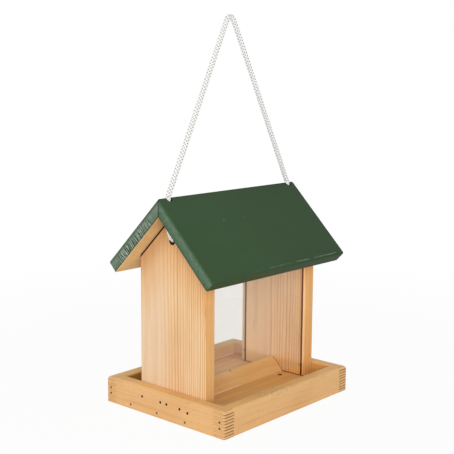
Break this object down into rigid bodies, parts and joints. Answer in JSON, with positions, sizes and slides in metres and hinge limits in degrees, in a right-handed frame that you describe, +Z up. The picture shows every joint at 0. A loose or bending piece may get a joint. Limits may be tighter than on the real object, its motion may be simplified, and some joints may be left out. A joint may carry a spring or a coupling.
{
  "type": "bird feeding house",
  "caption": "Hanging bird feeder shaped like a small house: box-jointed wooden tray, gable walls, clear panes in grooves and a green pitched roof that slides up the cord.",
  "frame": {"origin": "under the middle of the tray, on the surface that it stands on", "axes": "+X along the ridge to the right as seen from the front, +Y from front to back, +Z up"},
  "size_m": [0.209, 0.164, 0.4003],
  "materials": {
    "tray_wood": "bare planed wood, satin",
    "floor_wood": "bare planed wood, satin",
    "wall_wood": "bare planed wood with upright grain, satin",
    "roof_paint": "dark green paint on wood, satin, bare underneath",
    "clear_pane": "clear, glossy",
    "nail_steel": "dull bright steel",
    "cord_braid": "off-white braided cord"
  },
  "bodies": {
    "house": {"tray_front_rim": "tray_wood", "tray_back_rim": "tray_wood", "tray_left_rim": "tray_wood", "tray_right_rim": "tray_wood", "tray_floor": "floor_wood", "gable_wall_left": "wall_wood", "gable_wall_right": "wall_wood", "seed_divider": "floor_wood", "seed_divider_nail": "nail_steel", "tray_corner_nails": "nail_steel", "wall_nails": "nail_steel", "floor_nails": "nail_steel", "pane_rest_pins": "nail_steel", "cord_tail_left": "cord_braid", "cord_tail_right": "cord_braid", "cord_knot_left": "cord_braid", "cord_knot_right": "cord_braid"},
    "roof": {"roof_front_board": "roof_paint", "roof_back_board": "roof_paint", "roof_ridge_nails": "nail_steel", "cord_loop": "cord_braid"},
    "front_pane": {"pane_front": "clear_pane"},
    "back_pane": {"pane_back": "clear_pane"}
  },
  "joints": [
    {"name": "roof_lift", "type": "slide", "parent": "house", "child": "roof", "axis": [0, 0, 1], "range_m": [0, 0.08], "deforming": ["cord_loop", "cord_tail_left", "cord_tail_right"]},
    {"name": "front_pane_lift", "type": "slide", "parent": "house", "child": "front_pane", "axis": [0, 0, 1], "range_m": [0, 0.01]},
    {"name": "back_pane_lift", "type": "slide", "parent": "house", "child": "back_pane", "axis": [0, 0, 1], "range_m": [0, 0.01]}
  ]
}
